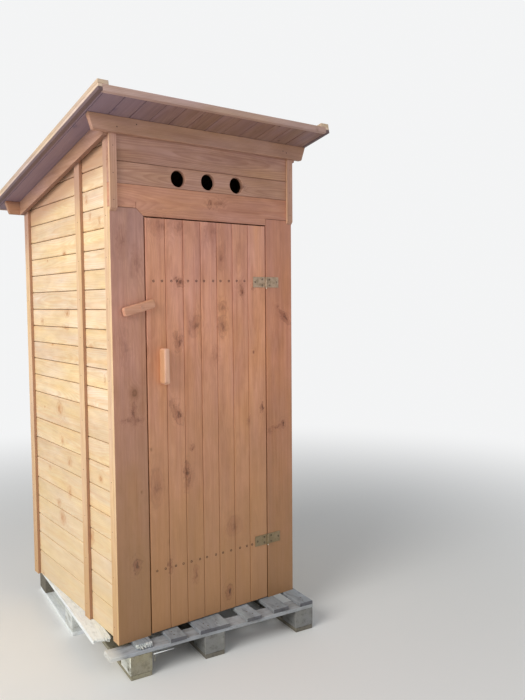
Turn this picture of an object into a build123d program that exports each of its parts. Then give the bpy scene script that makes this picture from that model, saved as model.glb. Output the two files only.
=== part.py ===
"""Wooden outhouse with a monopitch roof, a ledged door and a turn button, standing on its pallet.

Units are millimetres. +Z is up, -Y is the door side. The origin is on the ground,
under the centre of the cabin's footprint.
"""
import math
import os

from build123d import *

os.makedirs("parts", exist_ok=True)

# Cabin body
width = 1000.0
depth = 1106.0
soffit_height = 2306.0
roof_pitch = 11.35
board_t = 20.0
cladding_t = 18.0
batten_t = 16.0
batten_w = 60.0
post = 45.0
fit_gap = 2.0

# Pallet under the cabin
pallet_w = 1067.0
pallet_l = 1230.0
pallet_turn = -6.3
pallet_left_out = 69.0
pallet_front_out = 53.0
skid_t = 20.0
skid_w = 100.0
block_h = 88.0
block_w = 105.0
block_l = 125.0
left_column_out = 15.0
middle_column_shift = -23.5
corner_shift = 107.0
stringer_t = 18.0
stringer_w = 89.0
deck_t = 18.0

# Front face
left_jamb_w = 161.0
right_jamb_w = 164.0
door_gap_left = 6.0
door_gap_right = 5.0
door_gap_end = 6.0
door_head = 1904.0
header_rise = 32.0
header_chamfer = 36.0
vent_r = 37.5
vent_pitch = 160.5
vent_height = 2083.0
trim_w = 33.0
trim_t = 12.0
trim_drop = 22.0
trim_bevel = 14.0

# Roof
purlin_t = 26.0
purlin_h = 70.0
purlin_left_out = 100.0
purlin_right_out = 74.0
purlin_bevel = 24.0
rafter_t = 22.0
rafter_h = 73.0
roof_left_out = 130.0
roof_right_out = 78.0
eave_front = 207.0
eave_rear = 160.0
roof_deck_t = 20.0
felt_t = 3.0
edge_strip_t = 20.0
edge_strip_h = 28.0
verge_batten_w = 48.0
verge_batten_t = 18.0

# Door and its furniture
door_stop_gap = 5.0
stop_w = 20.0
ledge_t = 22.0
ledge_h = 95.0
ledge_end_left = 21.0
ledge_end_right = 16.0
ledge_low = 305.0
ledge_high = 1621.0
handle_w = 30.0
handle_d = 44.0
handle_l = 164.0
handle_top_r = 14.0
handle_arris_r = 9.0
handle_bevel_h = 15.0
handle_bevel_d = 9.0
handle_x = 244.0
handle_height = 1234.0
hinge_low = 310.0
hinge_high = 1621.0
hinge_leaf_l = 79.0
hinge_h = 52.0
hinge_leaf_t = 2.5
knuckle_r = 5.0
pin_r = 2.5
pin_clearance = 0.05
pin_ball_r = 3.6
knuckle_count = 5
knuckle_gap = 0.3
button_l = 157.0
button_w = 41.0
button_t = 20.0
button_end_r = 10.0
button_arris = 6.0
button_gap = 5.0
button_tail = 86.0
button_x = 131.0
button_height = 1502.0
button_turn = 15.1
button_screw_r = 3.0
button_screw_clearance = 0.5
button_head_r = 7.0

# Derived places
pallet_h = skid_t + block_h + stringer_t + deck_t
left_x = -width / 2
right_x = width / 2
front_y = -depth / 2
rear_y = depth / 2
base_z = pallet_h
side_x = width / 2 - batten_t - cladding_t
rear_in_y = rear_y - batten_t - cladding_t
slope = math.tan(math.radians(roof_pitch))
soffit_z = base_z + soffit_height
sill_y = front_y + board_t + door_stop_gap
floor_z = base_z + post
floor_top = floor_z + board_t
jamb_left_x = left_x + left_jamb_w
jamb_right_x = right_x - right_jamb_w
door_left_x = jamb_left_x + door_gap_left
door_right_x = jamb_right_x - door_gap_right
door_w = door_right_x - door_left_x
door_bottom_z = base_z + door_gap_end
door_top_z = base_z + door_head - door_gap_end
hinge_x = jamb_right_x - door_gap_right / 2
hinge_y = front_y - knuckle_r
purlin_bottom_z = soffit_z - purlin_h + purlin_t * slope
shoulder_z = base_z + door_head + header_rise


def roof_under(y):
    """Height of the roof boards' underside at depth y."""
    return soffit_z - (y - front_y) * slope


def footprint(x0, x1, y0, y1, z):
    """Rectangle between two corners on a level plane."""
    with BuildSketch(Plane.XY.offset(z)) as area:
        with Locations(((x0 + x1) / 2, (y0 + y1) / 2)):
            Rectangle(x1 - x0, y1 - y0)
    return area.sketch


def under_roof(x, y0, y1, z0):
    """Upright profile seen from the side, with its top cut to the roof."""
    with BuildSketch(Plane.YZ.offset(x)) as area:
        with BuildLine():
            Polyline((y0, z0), (y1, z0), (y1, roof_under(y1)), (y0, roof_under(y0)), close=True)
        make_face()
    return area.sketch


def roof_area(x0, x1, y0, y1, lift):
    """Rectangle in the roof's own slope, raised above the boards' underside."""
    run = 1 / math.cos(math.radians(roof_pitch))
    with BuildSketch(roof_plane.offset(lift)) as area:
        with Locations(((x0 + x1) / 2, (y0 + y1) / 2 * run)):
            Rectangle(x1 - x0, (y1 - y0) * run)
    return area.sketch


turn = math.radians(pallet_turn)
pallet_plane = Plane(
    origin=(left_x - pallet_left_out, front_y - pallet_front_out, 0),
    x_dir=(math.cos(turn), math.sin(turn), 0),
    z_dir=(0, 0, 1),
)
pitch = math.radians(roof_pitch)
roof_plane = Plane(
    origin=(0, front_y, soffit_z),
    x_dir=(1, 0, 0),
    z_dir=(0, math.sin(pitch), math.cos(pitch)),
)

# Pallet: skids, nine blocks, three cross stringers and the deck boards. The front left block has
# been put back further in, on a skid of its own, and the left skid starts at the middle block.
left_column = block_w / 2 - left_column_out
corner_column = left_column + corner_shift
middle_column = pallet_w / 2 + middle_column_shift
right_column = pallet_w - block_w / 2
row_front = block_l / 2
row_middle = pallet_l / 2
row_rear = pallet_l - block_l / 2
left_skid_start = row_middle - block_l / 2
corner_skid_l = left_skid_start - 10

with BuildPart() as pallet_skids:
    with BuildSketch(pallet_plane):
        with Locations((middle_column, pallet_l / 2), (right_column, pallet_l / 2)):
            Rectangle(skid_w, pallet_l)
        with Locations((left_column, (left_skid_start + pallet_l) / 2)):
            Rectangle(skid_w, pallet_l - left_skid_start)
        with Locations((corner_column, corner_skid_l / 2)):
            Rectangle(skid_w, corner_skid_l)
    extrude(amount=skid_t)
pallet_skids.part.label = "pallet_skids"
export_step(pallet_skids.part, "parts/pallet_skids.step")

with BuildPart() as pallet_blocks:
    with BuildSketch(pallet_plane.offset(skid_t)):
        rows = (row_front, row_middle, row_rear)
        with Locations(*[(x, y) for x in (middle_column, right_column) for y in rows]):
            Rectangle(block_w, block_l)
        with Locations((left_column, row_middle), (left_column, row_rear), (corner_column, row_front)):
            Rectangle(block_w, block_l)
    extrude(amount=block_h)
pallet_blocks.part.label = "pallet_blocks"
export_step(pallet_blocks.part, "parts/pallet_blocks.step")

with BuildPart() as pallet_stringers:
    with BuildSketch(pallet_plane.offset(skid_t + block_h)):
        with Locations(
            (pallet_w / 2, stringer_w / 2),
            (pallet_w / 2, pallet_l / 2),
            (pallet_w / 2, pallet_l - stringer_w / 2),
        ):
            Rectangle(pallet_w, stringer_w)
    extrude(amount=stringer_t)
pallet_stringers.part.label = "pallet_stringers"
export_step(pallet_stringers.part, "parts/pallet_stringers.step")

# Left edge, width and setback of each deck board's front end; the first has lost its front end
deck_boards = [(-24, 84, 165), (128, 77, 8), (283, 79, -8), (432, 156, -6), (681, 80, -8), (839, 86, 6)]
deck_boards.append((pallet_w - 76, 76, 0))

with BuildPart() as pallet_deck:
    with BuildSketch(pallet_plane.offset(skid_t + block_h + stringer_t)):
        for left, board_w, setback in deck_boards:
            with Locations((left + board_w / 2, (setback + pallet_l) / 2)):
                Rectangle(board_w, pallet_l - setback)
    extrude(amount=deck_t)
pallet_deck.part.label = "pallet_deck"
export_step(pallet_deck.part, "parts/pallet_deck.step")

# Floor frame and floor
with BuildPart() as floor_sills:
    extrude(footprint(-side_x, side_x, sill_y, sill_y + post, base_z), amount=post)
    extrude(footprint(-side_x, side_x, rear_in_y - post, rear_in_y, base_z), amount=post)
floor_sills.part.label = "floor_sills"
export_step(floor_sills.part, "parts/floor_sills.step")

with BuildPart() as floor_joists:
    for x in (-side_x + post / 2, 0, side_x - post / 2):
        area = footprint(x - post / 2, x + post / 2, sill_y + post, rear_in_y - post, base_z)
        extrude(area, amount=post)
floor_joists.part.label = "floor_joists"
export_step(floor_joists.part, "parts/floor_joists.step")

with BuildPart() as floor_boards:
    extrude(footprint(-side_x, side_x, sill_y, rear_in_y, floor_z), amount=board_t)
floor_boards.part.label = "floor_boards"
export_step(floor_boards.part, "parts/floor_boards.step")

# Studs inside the walls
mid_batten_y = front_y + 352.0
frame_y = front_y + board_t

with BuildPart() as wall_studs:
    for x in (-side_x, side_x - post):
        extrude(under_roof(x, frame_y, frame_y + post, floor_top), amount=post)
        extrude(under_roof(x, mid_batten_y - post / 2, mid_batten_y + post / 2, floor_top), amount=post)
        extrude(under_roof(x, rear_in_y - post, rear_in_y, floor_top), amount=post)
wall_studs.part.label = "wall_studs"
export_step(wall_studs.part, "parts/wall_studs.step")

rail_bottom_z = purlin_bottom_z - post
rail_in_x = side_x - post

with BuildPart() as top_rails:
    extrude(under_roof(-rail_in_x, frame_y, frame_y + post, rail_bottom_z), amount=2 * rail_in_x)
    rear_rail_z = roof_under(rear_y) - purlin_h - post
    extrude(under_roof(-rail_in_x, rear_in_y - post, rear_in_y, rear_rail_z), amount=2 * rail_in_x)
top_rails.part.label = "top_rails"
export_step(top_rails.part, "parts/top_rails.step")

with BuildPart() as door_posts:
    for x in (jamb_left_x - post, jamb_right_x):
        area = footprint(x, x + post, frame_y, frame_y + post, floor_top)
        extrude(area, amount=rail_bottom_z - floor_top)
door_posts.part.label = "door_posts"
export_step(door_posts.part, "parts/door_posts.step")

with BuildPart() as door_head_rail:
    area = footprint(jamb_left_x, jamb_right_x, frame_y, frame_y + post, shoulder_z)
    extrude(area, amount=post)
door_head_rail.part.label = "door_head_rail"
export_step(door_head_rail.part, "parts/door_head_rail.step")

with BuildPart() as door_stop:
    area = footprint(jamb_left_x, jamb_left_x + stop_w, sill_y, sill_y + stop_w, floor_top)
    extrude(area, amount=shoulder_z - floor_top)
door_stop.part.label = "door_stop"
export_step(door_stop.part, "parts/door_stop.step")

# Side and rear cladding, with the cover battens outside
with BuildPart() as left_cladding:
    extrude(under_roof(-side_x - cladding_t, frame_y, rear_in_y + cladding_t, base_z), amount=cladding_t)
left_cladding.part.label = "left_cladding"
export_step(left_cladding.part, "parts/left_cladding.step")

with BuildPart() as right_cladding:
    extrude(under_roof(side_x, frame_y, rear_in_y + cladding_t, base_z), amount=cladding_t)
right_cladding.part.label = "right_cladding"
export_step(right_cladding.part, "parts/right_cladding.step")

with BuildPart() as rear_cladding:
    extrude(under_roof(-side_x, rear_in_y, rear_in_y + cladding_t, base_z), amount=2 * side_x)
rear_cladding.part.label = "rear_cladding"
export_step(rear_cladding.part, "parts/rear_cladding.step")

batten_rows = [
    (frame_y, front_y + batten_w),
    (mid_batten_y - batten_w / 2, mid_batten_y + batten_w / 2),
    (rear_y - batten_w, rear_y),
]

with BuildPart() as left_battens:
    for y0, y1 in batten_rows:
        extrude(under_roof(left_x, y0, y1, base_z), amount=batten_t)
left_battens.part.label = "left_battens"
export_step(left_battens.part, "parts/left_battens.step")

with BuildPart() as right_battens:
    for y0, y1 in batten_rows:
        extrude(under_roof(right_x - batten_t, y0, y1, base_z), amount=batten_t)
right_battens.part.label = "right_battens"
export_step(right_battens.part, "parts/right_battens.step")

with BuildPart() as rear_battens:
    for x in (left_x + batten_t, right_x - batten_t - batten_w):
        extrude(under_roof(x, rear_y - batten_t, rear_y, base_z), amount=batten_w)
rear_battens.part.label = "rear_battens"
export_step(rear_battens.part, "parts/rear_battens.step")

# Front jambs, header boarding and trims
with BuildPart() as left_jamb:
    top = shoulder_z - fit_gap
    chamfer_x = jamb_left_x - header_chamfer
    chamfer_z = base_z + door_head - fit_gap
    with BuildSketch(Plane.XZ.offset(-front_y - board_t)):
        with BuildLine():
            Polyline(
                (left_x, base_z),
                (jamb_left_x, base_z),
                (jamb_left_x, chamfer_z),
                (chamfer_x, top),
                (left_x, top),
                close=True,
            )
        make_face()
    extrude(amount=board_t)
left_jamb.part.label = "left_jamb"
export_step(left_jamb.part, "parts/left_jamb.step")

with BuildPart() as right_jamb:
    area = footprint(jamb_right_x, right_x, front_y, frame_y, base_z)
    extrude(area, amount=shoulder_z - fit_gap - base_z)
right_jamb.part.label = "right_jamb"
export_step(right_jamb.part, "parts/right_jamb.step")

with BuildPart() as header_boarding:
    header_top = roof_under(frame_y)
    with BuildSketch(Plane.XZ.offset(-frame_y)):
        with BuildLine():
            Polyline(
                (left_x, shoulder_z),
                (jamb_left_x - header_chamfer, shoulder_z),
                (jamb_left_x, base_z + door_head),
                (jamb_right_x - fit_gap, base_z + door_head),
                (jamb_right_x - fit_gap, shoulder_z),
                (right_x, shoulder_z),
                (right_x, header_top),
                (left_x, header_top),
                close=True,
            )
        make_face()
        with Locations((0, base_z + vent_height)):
            with GridLocations(vent_pitch, 0, 3, 1):
                Circle(vent_r, mode=Mode.SUBTRACT)
    extrude(amount=board_t)
header_boarding.part.label = "header_boarding"
export_step(header_boarding.part, "parts/header_boarding.step")

trim_foot = shoulder_z - trim_drop

with BuildPart() as front_trims:
    for x in (left_x, right_x - trim_w):
        with BuildSketch(Plane.YZ.offset(x)):
            with BuildLine():
                Polyline(
                    (front_y, trim_foot),
                    (front_y, purlin_bottom_z),
                    (front_y - trim_t, purlin_bottom_z),
                    (front_y - trim_t, trim_foot + trim_bevel),
                    close=True,
                )
            make_face()
        extrude(amount=trim_w)
front_trims.part.label = "front_trims"
export_step(front_trims.part, "parts/front_trims.step")


# Roof timbers
def purlin_end_cut(x, y0, y1, direction):
    """Wedge outside a purlin's slanted end."""
    bottom = min(roof_under(y0), roof_under(y1)) - 2 * purlin_h
    top = max(roof_under(y0), roof_under(y1)) + purlin_h
    rise = roof_under(y0) - purlin_h
    reach = direction * purlin_bevel
    with BuildSketch(Plane.XZ.offset(-y1 - 1)) as area:
        with BuildLine():
            Polyline(
                (x - reach, rise),
                (x, rise + purlin_h),
                (x, top),
                (x + 2 * reach, top),
                (x + 2 * reach, bottom),
                (x - reach, bottom),
                close=True,
            )
        make_face()
    return area.sketch


purlin_left_x = left_x - purlin_left_out
purlin_right_x = right_x + purlin_right_out


def purlin_body(y0, y1):
    """Purlin profile from the side: square timber with its top planed to the roof."""
    return under_roof(purlin_left_x, y0, y1, roof_under(y0) - purlin_h)


with BuildPart() as front_purlin:
    y0 = front_y - purlin_t
    extrude(purlin_body(y0, front_y), amount=purlin_right_x - purlin_left_x)
    extrude(purlin_end_cut(purlin_left_x, y0, front_y, -1), amount=purlin_t + 2, mode=Mode.SUBTRACT)
    extrude(purlin_end_cut(purlin_right_x, y0, front_y, 1), amount=purlin_t + 2, mode=Mode.SUBTRACT)
front_purlin.part.label = "front_purlin"
export_step(front_purlin.part, "parts/front_purlin.step")

with BuildPart() as rear_purlin:
    y1 = rear_y + purlin_t
    extrude(purlin_body(rear_y, y1), amount=purlin_right_x - purlin_left_x)
    extrude(purlin_end_cut(purlin_left_x, rear_y, y1, -1), amount=purlin_t + 2, mode=Mode.SUBTRACT)
    extrude(purlin_end_cut(purlin_right_x, rear_y, y1, 1), amount=purlin_t + 2, mode=Mode.SUBTRACT)
rear_purlin.part.label = "rear_purlin"
export_step(rear_purlin.part, "parts/rear_purlin.step")

with BuildPart() as side_rafters:
    for x in (left_x - rafter_t, right_x):
        with BuildSketch(Plane.YZ.offset(x)):
            with BuildLine():
                Polyline(
                    (front_y, roof_under(front_y) - rafter_h),
                    (rear_y, roof_under(rear_y) - rafter_h),
                    (rear_y, roof_under(rear_y)),
                    (front_y, roof_under(front_y)),
                    close=True,
                )
            make_face()
        extrude(amount=rafter_t)
side_rafters.part.label = "side_rafters"
export_step(side_rafters.part, "parts/side_rafters.step")

# Roof covering, in the roof's slope
roof_x0 = left_x - roof_left_out
roof_x1 = right_x + roof_right_out
deck_x0 = roof_x0 + edge_strip_t
deck_x1 = roof_x1 - edge_strip_t
deck_y0 = -eave_front + edge_strip_t
deck_y1 = depth + eave_rear - edge_strip_t

with BuildPart() as roof_boards:
    extrude(roof_area(deck_x0, deck_x1, deck_y0, deck_y1, 0), amount=roof_deck_t)
roof_boards.part.label = "roof_boards"
export_step(roof_boards.part, "parts/roof_boards.step")

with BuildPart() as roof_felt:
    extrude(roof_area(deck_x0, deck_x1, deck_y0, deck_y1, roof_deck_t), amount=felt_t)
roof_felt.part.label = "roof_felt"
export_step(roof_felt.part, "parts/roof_felt.step")

with BuildPart() as eave_strips:
    extrude(roof_area(deck_x0, deck_x1, -eave_front, deck_y0, 0), amount=edge_strip_h)
    extrude(roof_area(deck_x0, deck_x1, deck_y1, depth + eave_rear, 0), amount=edge_strip_h)
eave_strips.part.label = "eave_strips"
export_step(eave_strips.part, "parts/eave_strips.step")

with BuildPart() as verge_strips:
    for x in (roof_x0, deck_x1):
        area = roof_area(x, x + edge_strip_t, -eave_front, depth + eave_rear, 0)
        extrude(area, amount=edge_strip_h)
verge_strips.part.label = "verge_strips"
export_step(verge_strips.part, "parts/verge_strips.step")

with BuildPart() as verge_battens:
    for x in (roof_x0, roof_x1 - verge_batten_w):
        area = roof_area(x, x + verge_batten_w, -eave_front, depth + eave_rear, edge_strip_h)
        extrude(area, amount=verge_batten_t)
verge_battens.part.label = "verge_battens"
export_step(verge_battens.part, "parts/verge_battens.step")

# Door leaf with two ledges behind
with BuildPart() as door_boards:
    area = footprint(door_left_x, door_right_x, front_y, front_y + board_t, door_bottom_z)
    extrude(area, amount=door_top_z - door_bottom_z)
door_boards.part.label = "door_boards"
export_step(door_boards.part, "parts/door_boards.step")

with BuildPart() as door_ledges:
    for height in (ledge_low, ledge_high):
        area = footprint(
            door_left_x + ledge_end_left,
            door_right_x - ledge_end_right,
            frame_y,
            frame_y + ledge_t,
            base_z + height - ledge_h / 2,
        )
        extrude(area, amount=ledge_h)
door_ledges.part.label = "door_ledges"
export_step(door_ledges.part, "parts/door_ledges.step")

# The handle is one stick, domed at the top and bevelled at the foot
handle_foot = base_z + handle_height - handle_l / 2
handle_top = handle_foot + handle_l
handle_front = front_y - handle_d

with BuildPart() as door_handle:
    with BuildSketch(Plane.XY.offset(handle_foot)) as plan:
        with Locations((left_x + handle_x, front_y - handle_d / 2)):
            Rectangle(handle_w, handle_d)
        fillet(plan.vertices().group_by(Axis.Y)[0], radius=handle_arris_r)
    extrude(amount=handle_l)
    with BuildSketch(Plane.XZ.offset(-front_y)) as front_view:
        with Locations((left_x + handle_x, base_z + handle_height)):
            Rectangle(handle_w, handle_l)
        fillet(front_view.vertices().group_by(Axis.Z)[-1], radius=handle_top_r)
    extrude(amount=handle_d, mode=Mode.INTERSECT)
    with BuildSketch(Plane.YZ.offset(left_x + handle_x)) as side_view:
        with BuildLine():
            Polyline(
                (front_y, handle_foot),
                (front_y, handle_top),
                (handle_front, handle_top),
                (handle_front, handle_foot + handle_bevel_h),
                (handle_front + handle_bevel_d, handle_foot),
                close=True,
            )
        make_face()
        fillet(side_view.vertices().group_by(Axis.Z)[-1].sort_by(Axis.Y)[0], radius=handle_top_r)
    extrude(amount=handle_w / 2, both=True, mode=Mode.INTERSECT)
door_handle.part.label = "door_handle"
export_step(door_handle.part, "parts/door_handle.step")

# Surface hinges with interleaved knuckles
knuckle_h = hinge_h / knuckle_count


def knuckle_heights(centre, first):
    """Bottom heights of every second knuckle of a hinge."""
    low = base_z + centre - hinge_h / 2
    return [low + i * knuckle_h for i in range(first, knuckle_count, 2)]


def knuckle_ring(z):
    with BuildSketch(Plane.XY.offset(z)) as area:
        with Locations((hinge_x, hinge_y)):
            Circle(knuckle_r)
            Circle(pin_r + pin_clearance, mode=Mode.SUBTRACT)
    return area.sketch


def knuckle_arm(side, z):
    """Strip of leaf that reaches from the plate to its knuckle."""
    reach = knuckle_r + 1.5
    with BuildSketch(Plane.XY.offset(z)) as area:
        with Locations((hinge_x + side * reach / 2, front_y - hinge_leaf_t / 2)):
            Rectangle(reach, hinge_leaf_t)
        with Locations((hinge_x, hinge_y)):
            Circle(pin_r + pin_clearance, mode=Mode.SUBTRACT)
    return area.sketch


def leaf_plate(side, centre):
    """Plate of one hinge leaf, clear of the barrel."""
    start = knuckle_r + 1.0
    mid = (start + hinge_leaf_l) / 2
    with BuildSketch(Plane.XY.offset(base_z + centre - hinge_h / 2)) as area:
        with Locations((hinge_x + side * mid, front_y - hinge_leaf_t / 2)):
            Rectangle(hinge_leaf_l - start, hinge_leaf_t)
    return area.sketch


with BuildPart() as hinge_door_leaves:
    for centre in (hinge_low, hinge_high):
        extrude(leaf_plate(-1, centre), amount=hinge_h)
        for z in knuckle_heights(centre, 1):
            extrude(knuckle_ring(z + knuckle_gap / 2), amount=knuckle_h - knuckle_gap)
            extrude(knuckle_arm(-1, z + knuckle_gap / 2), amount=knuckle_h - knuckle_gap)
hinge_door_leaves.part.label = "hinge_door_leaves"
export_step(hinge_door_leaves.part, "parts/hinge_door_leaves.step")

with BuildPart() as hinge_frame_leaves:
    for centre in (hinge_low, hinge_high):
        extrude(leaf_plate(1, centre), amount=hinge_h)
        for z in knuckle_heights(centre, 0):
            extrude(knuckle_ring(z + knuckle_gap / 2), amount=knuckle_h - knuckle_gap)
            extrude(knuckle_arm(1, z + knuckle_gap / 2), amount=knuckle_h - knuckle_gap)
hinge_frame_leaves.part.label = "hinge_frame_leaves"
export_step(hinge_frame_leaves.part, "parts/hinge_frame_leaves.step")

with BuildPart() as hinge_pins:
    for centre in (hinge_low, hinge_high):
        foot = base_z + centre - hinge_h / 2
        with BuildSketch(Plane.XY.offset(foot - pin_ball_r)):
            with Locations((hinge_x, hinge_y)):
                Circle(pin_r)
        extrude(amount=hinge_h + pin_ball_r)
        with Locations((hinge_x, hinge_y, foot - pin_ball_r)):
            Sphere(pin_ball_r)
hinge_pins.part.label = "hinge_pins"
export_step(hinge_pins.part, "parts/hinge_pins.step")

# Turn button on the left jamb, on a washer and a screw
button_plane = Plane(
    origin=(left_x + button_x, front_y - button_gap, base_z + button_height),
    x_dir=(math.cos(math.radians(button_turn)), 0, math.sin(math.radians(button_turn))),
    z_dir=(0, -1, 0),
)

with BuildPart() as turn_button:
    with BuildSketch(button_plane):
        with Locations((button_l / 2 - button_tail, 0)):
            RectangleRounded(button_l, button_w, button_end_r)
    extrude(amount=button_t)
    fillet(turn_button.edges().group_by(Axis.Y)[0], radius=button_arris)
    with BuildSketch(button_plane):
        Circle(button_screw_r + button_screw_clearance)
    extrude(amount=button_t, mode=Mode.SUBTRACT)
turn_button.part.label = "turn_button"
export_step(turn_button.part, "parts/turn_button.step")

with BuildPart() as button_screw:
    with BuildSketch(button_plane.offset(-button_gap)):
        Circle(button_head_r)
    extrude(amount=button_gap - pin_clearance * 6)
    with BuildSketch(button_plane.offset(-button_gap)):
        Circle(button_screw_r)
    extrude(amount=button_gap + button_t + 3)
    with BuildSketch(button_plane.offset(button_t + pin_clearance * 6)):
        Circle(button_head_r)
    extrude(amount=3 - pin_clearance * 6)
button_screw.part.label = "button_screw"
export_step(button_screw.part, "parts/button_screw.step")
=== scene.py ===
"""Looks of the wooden outhouse: its boards, fixings, roof covering and pallet, with light and camera.

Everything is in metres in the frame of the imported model: +Z up, -Y the door side.
"""
import math
import random

import bmesh
import bpy
from mathutils import Matrix, Vector


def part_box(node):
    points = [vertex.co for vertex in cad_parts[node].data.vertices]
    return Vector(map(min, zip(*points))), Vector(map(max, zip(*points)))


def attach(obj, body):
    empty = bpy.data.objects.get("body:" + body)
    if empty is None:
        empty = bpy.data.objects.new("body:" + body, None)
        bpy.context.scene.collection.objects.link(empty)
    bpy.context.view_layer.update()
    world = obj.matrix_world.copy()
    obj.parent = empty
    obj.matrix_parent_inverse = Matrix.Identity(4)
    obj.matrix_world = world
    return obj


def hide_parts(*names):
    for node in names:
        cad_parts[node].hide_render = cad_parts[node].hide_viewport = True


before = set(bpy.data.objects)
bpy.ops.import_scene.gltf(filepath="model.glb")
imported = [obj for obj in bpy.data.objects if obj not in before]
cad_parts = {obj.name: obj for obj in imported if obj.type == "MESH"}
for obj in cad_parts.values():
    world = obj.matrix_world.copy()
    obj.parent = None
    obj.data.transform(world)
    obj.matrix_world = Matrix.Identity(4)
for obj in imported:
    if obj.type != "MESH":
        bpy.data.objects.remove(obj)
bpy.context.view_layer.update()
chance = random.Random(11)

X, Y, Z = 0, 1, 2
mm = 0.001

# Places that the model gives
jamb_low, jamb_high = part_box("left_jamb")
right_jamb_low, right_jamb_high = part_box("right_jamb")
door_low, door_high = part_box("door_boards")
header_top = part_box("header_boarding")[1].z
floor_low, floor_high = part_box("floor_boards")
left = jamb_low.x
right = right_jamb_high.x
front = jamb_low.y
frame_y = jamb_high.y
base = jamb_low.z
roof_pitch = math.radians(11.35)
soffit = header_top + (frame_y - front) * math.tan(roof_pitch)
roof_point = Vector((0, front, soffit))
roof_normal = Vector((0, math.sin(roof_pitch), math.cos(roof_pitch)))

# Turns of a shape that was made facing up
faces_front = Matrix.Rotation(math.pi / 2, 3, "X")
faces_left = Matrix.Rotation(-math.pi / 2, 3, "Y")
faces_right = Matrix.Rotation(math.pi / 2, 3, "Y")
faces_up = Matrix.Identity(3)


def across(t):
    """Place across the front, measured from the cabin's left edge in millimetres."""
    return left + t * mm


def height(h):
    """Height above the cabin's foot in millimetres."""
    return base + h * mm


def behind(d):
    """Depth behind the front face in millimetres."""
    return front + d * mm


def set_all(item, **settings):
    for key, value in settings.items():
        setattr(item, key, value)
    return item


# Joinery


def new_work():
    work = bmesh.new()
    work.verts.layers.float_vector.new("grain")
    work.verts.layers.float.new("tone")
    work.verts.layers.int.new("done")
    return work


def newest(work):
    """Everything that hasn't been given its grain yet."""
    done = work.verts.layers.int["done"]
    verts = [v for v in work.verts if v[done] == 0]
    edges = {e for v in verts for e in v.link_edges}
    faces = {f for v in verts for f in v.link_faces}
    return verts, list(edges), list(faces)


def timber(work, low, high):
    """Squared timber between two corners."""
    low, high = Vector(low), Vector(high)
    verts = bmesh.ops.create_cube(work, size=1.0)["verts"]
    bmesh.ops.scale(work, vec=high - low, verts=verts)
    bmesh.ops.translate(work, vec=(low + high) / 2, verts=verts)
    return verts


def turn_to(work, verts, turn, place):
    """Turns points about the origin and takes them to their place."""
    bmesh.ops.rotate(work, cent=(0, 0, 0), matrix=turn, verts=verts)
    bmesh.ops.translate(work, vec=place, verts=verts)


def saw(work, point, normal):
    """Saws the newest timber along a plane and drops the side that the normal points to."""
    verts, edges, faces = newest(work)
    cut = bmesh.ops.bisect_plane(
        work, geom=verts + edges + faces, plane_co=point, plane_no=normal, dist=1e-6, clear_outer=True
    )
    rim = [g for g in cut["geom_cut"] if isinstance(g, bmesh.types.BMEdge)]
    if len(rim) > 2:
        bmesh.ops.edgeloop_fill(work, edges=rim)


def round_over(work, edges, width, segments=2):
    bmesh.ops.bevel(
        work, geom=edges, offset=width, offset_type="OFFSET", segments=segments, profile=0.5,
        affect="EDGES", material=-1, clamp_overlap=True,
    )


def ease(work, width, along=None, segments=2):
    """Rounds the newest timber's arrises, all of them or only those that run along one axis."""
    chosen = []
    for edge in newest(work)[1]:
        if len(edge.link_faces) != 2 or edge.calc_face_angle(0.0) < 0.5:
            continue
        run = edge.verts[1].co - edge.verts[0].co
        if along is None or abs(run[along]) > 0.9 * run.length:
            chosen.append(edge)
    round_over(work, chosen, width, segments)


def give_grain(work, along, face, spread=1.0, finish=None, tone=None):
    """Stores where each point lies in its own log (along, across, deep) and how dark the board is."""
    grain = work.verts.layers.float_vector["grain"]
    tones = work.verts.layers.float["tone"]
    done = work.verts.layers.int["done"]
    verts, _, faces = newest(work)
    side = 3 - along - face
    middle = [sum(v.co[i] for v in verts) / len(verts) for i in range(3)]
    start = chance.uniform(0, 30)
    pith_side = chance.uniform(-0.045, 0.045)
    pith_deep = chance.uniform(0.014, 0.055)
    own_tone = max(-1.5, min(1.5, chance.gauss(0, 0.55))) * spread
    for v in verts:
        v[grain] = (
            v.co[along] + start,
            v.co[side] - middle[side] + pith_side,
            v.co[face] - middle[face] + pith_deep,
        )
        v[tones] = own_tone if tone is None else tone
        v[done] = 1
    if finish is not None:
        for f in faces:
            f.material_index = finish


def face_out(work):
    bmesh.ops.recalc_face_normals(work, faces=work.faces[:])


def paint_facing(work, way, finish):
    """Gives the faces that look one way, within 45 degrees, another finish."""
    face_out(work)
    for f in work.faces:
        if f.normal.dot(way) > 0.7:
            f.material_index = finish


def stand(name, data):
    """New object of the scene, at the origin."""
    item = bpy.data.objects.new(name, data)
    bpy.context.scene.collection.objects.link(item)
    return item


def cast(name, work):
    """New object with the work as its mesh."""
    data = bpy.data.meshes.new(name)
    work.to_mesh(data)
    work.free()
    return stand(name, data)


def finish_piece(name, work, finishes, stands_for=(), laid_in=None, body="cabin"):
    """Turns the work into a piece that rides on a body, from the frame that it was laid out in."""
    if laid_in:
        bmesh.ops.transform(work, matrix=laid_in, verts=work.verts[:])
    face_out(work)
    piece = cast(name, work)
    for finish in finishes:
        piece.data.materials.append(finish)
    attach(piece, body)
    if stands_for:
        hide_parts(*stands_for)


# Shader helpers


def paint(shown):
    """Colour as it shows on a screen, 0 to 255, in the linear values that shaders read."""
    linear = [c / 255 / 12.92 if c <= 10 else ((c / 255 + 0.055) / 1.055) ** 2.4 for c in shown]
    return (*linear, 1.0)


def empty_tree(holder):
    """Node tree of a material or the world, with nothing in it yet."""
    holder.use_nodes = True
    holder.node_tree.nodes.clear()
    return holder.node_tree


def plug(socket, value):
    if isinstance(value, bpy.types.NodeSocket):
        socket.id_data.links.new(value, socket)
    elif value is not None:
        socket.default_value = value


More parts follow.
